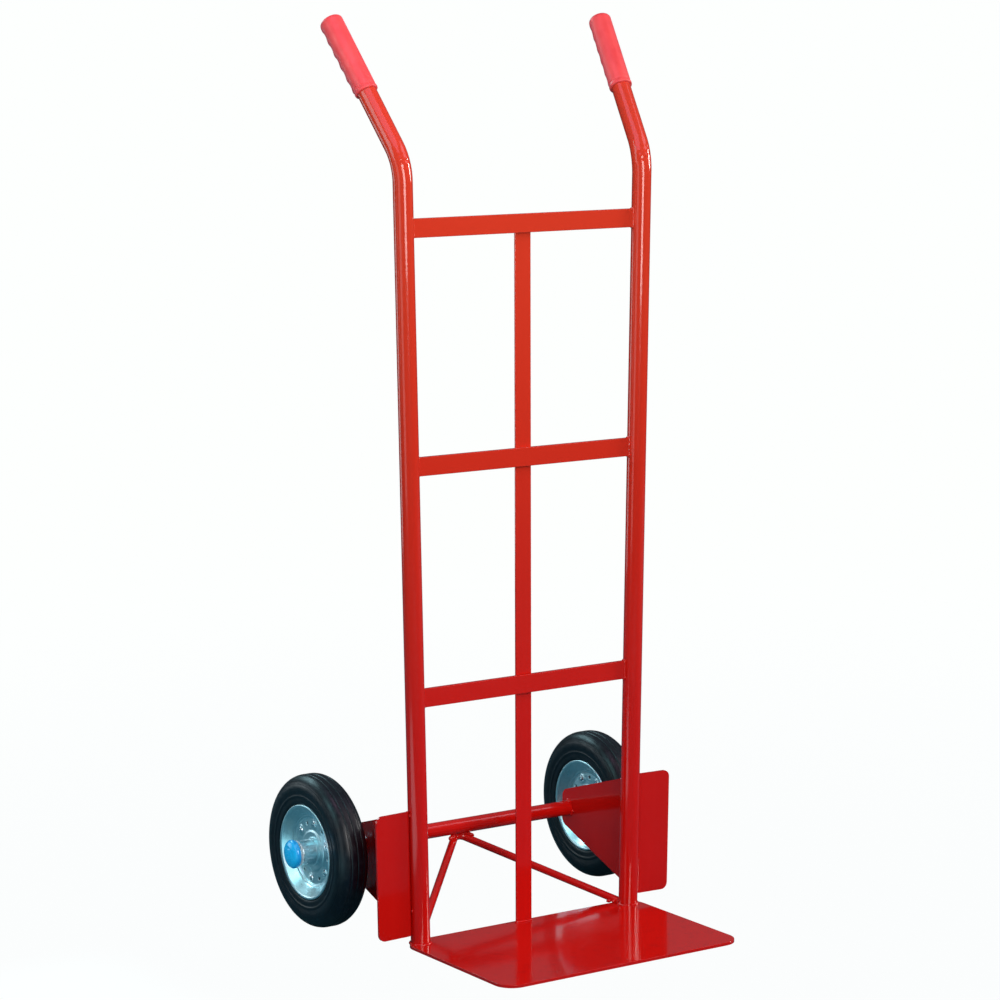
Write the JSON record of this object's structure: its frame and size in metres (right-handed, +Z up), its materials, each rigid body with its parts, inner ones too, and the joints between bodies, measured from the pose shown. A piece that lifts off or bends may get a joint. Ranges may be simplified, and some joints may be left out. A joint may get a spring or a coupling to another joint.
{
  "type": "hand truck",
  "caption": "Upright two-wheeled hand truck: bent tube uprights with gripped handles, flat crossbars, toe plate, braced axle.",
  "frame": {"origin": "on the floor, on the plane of symmetry, midway between the toe plate front edge and the back of the tyres", "axes": "+Z up along the uprights, -Y the way the toe plate points, X along the axle"},
  "size_m": [0.5296, 0.478, 1.1728],
  "materials": {
    "frame_paint": "gloss",
    "grip_vinyl": "soft satin",
    "tyre_rubber": "satin",
    "rim_zinc": "bright zinc",
    "hub_zinc": "bright zinc",
    "rivet_steel": "bright zinc",
    "washer_zinc": "bright zinc",
    "bush_nylon": "satin",
    "cap_plastic": "gloss"
  },
  "bodies": {
    "frame": {"left_upright": "frame_paint", "right_upright": "frame_paint", "top_crossbar": "frame_paint", "middle_crossbar": "frame_paint", "lower_crossbar": "frame_paint", "centre_strap": "frame_paint", "toe_plate": "frame_paint", "left_wheel_bracket": "frame_paint", "right_wheel_bracket": "frame_paint", "brace_rod": "frame_paint", "axle": "frame_paint", "left_grip": "grip_vinyl", "right_grip": "grip_vinyl", "left_axle_collar": "frame_paint", "left_axle_washer": "washer_zinc", "left_axle_cap": "cap_plastic", "right_axle_collar": "frame_paint", "right_axle_washer": "washer_zinc", "right_axle_cap": "cap_plastic"},
    "left_wheel": {"left_tyre": "tyre_rubber", "left_outer_rim": "rim_zinc", "left_inner_rim": "rim_zinc", "left_hub_tube": "hub_zinc", "left_outer_bush": "bush_nylon", "left_inner_bush": "bush_nylon", "left_rim_rivets": "rivet_steel"},
    "right_wheel": {"right_tyre": "tyre_rubber", "right_outer_rim": "rim_zinc", "right_inner_rim": "rim_zinc", "right_hub_tube": "hub_zinc", "right_outer_bush": "bush_nylon", "right_inner_bush": "bush_nylon", "right_rim_rivets": "rivet_steel"}
  },
  "joints": [
    {"name": "left_wheel_spin", "type": "hinge", "parent": "frame", "child": "left_wheel", "pos_m": [-0.2205, 0.139, 0.1], "axis": [1, 0, 0], "continuous": true},
    {"name": "right_wheel_spin", "type": "hinge", "parent": "frame", "child": "right_wheel", "pos_m": [0.2205, 0.139, 0.1], "axis": [1, 0, 0], "continuous": true}
  ]
}
